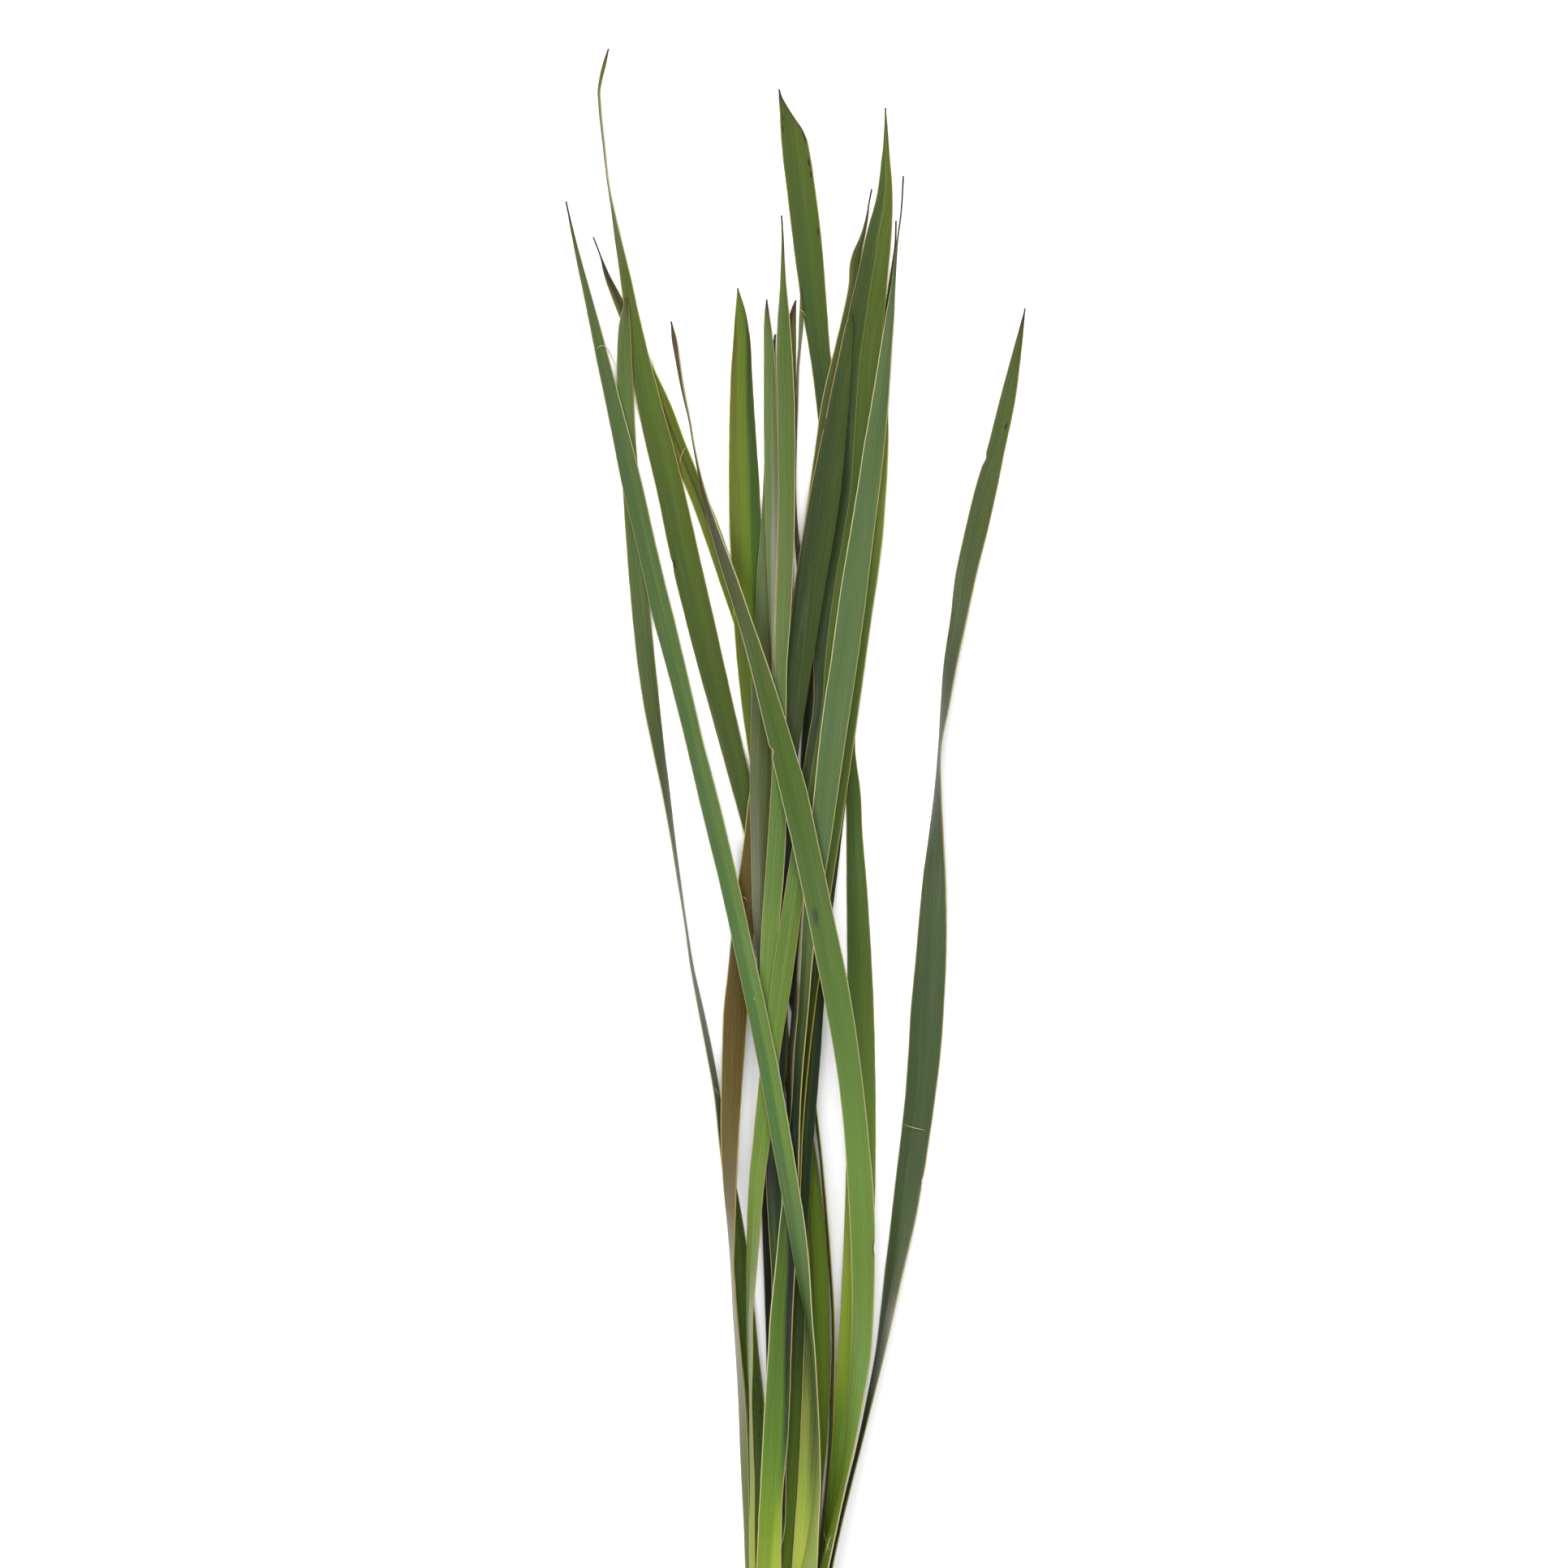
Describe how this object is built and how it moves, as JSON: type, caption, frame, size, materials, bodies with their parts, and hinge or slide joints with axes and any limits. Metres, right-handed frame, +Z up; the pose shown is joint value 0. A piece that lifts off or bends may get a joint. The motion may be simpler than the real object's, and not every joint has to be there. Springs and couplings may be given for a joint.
{
  "type": "cattail leaf bunch",
  "caption": "Loose bunch of long narrow strap leaves laid flat, cut ends together and pointed tips spread, crossing over and under each other.",
  "frame": {"origin": "middle of the bounding box, on the surface that the bunch lies on", "axes": "+Y along the bunch from the cut ends to the tips, +X to the right seen from above with the tips away from the viewer, +Z up off the surface"},
  "size_m": [0.2552, 0.8924, 0.0357],
  "materials": {
    "green_leaf_surface": "satin waxy leaf with fine parallel veins and pale margins",
    "dark_leaf_surface": "satin waxy leaf, shaded side, fine parallel veins",
    "yellow_leaf_surface": "satin waxy leaf turning yellow-green",
    "olive_leaf_surface": "satin leaf, olive and drying",
    "brown_leaf_surface": "dry matt leaf, brown and grey"
  },
  "bodies": {
    "root": {"back_sliver_leaf": "olive_leaf_surface", "brown_tipped_leaf": "olive_leaf_surface", "tall_hooked_leaf": "green_leaf_surface", "cut_tip_leaf": "dark_leaf_surface", "yellow_broad_leaf": "yellow_leaf_surface", "grey_twisted_leaf": "brown_leaf_surface", "left_twisted_leaf": "green_leaf_surface", "brown_leaf": "brown_leaf_surface", "dark_inner_leaf": "dark_leaf_surface", "tall_folded_leaf": "green_leaf_surface", "yellow_strip_leaf": "yellow_leaf_surface", "olive_leaf": "olive_leaf_surface", "narrow_middle_leaf": "green_leaf_surface", "dark_broad_leaf": "dark_leaf_surface", "pointed_middle_leaf": "green_leaf_surface", "pale_edged_leaf": "green_leaf_surface", "right_arching_leaf": "dark_leaf_surface", "long_front_leaf": "green_leaf_surface", "diagonal_front_leaf": "green_leaf_surface"}
  },
  "joints": []
}
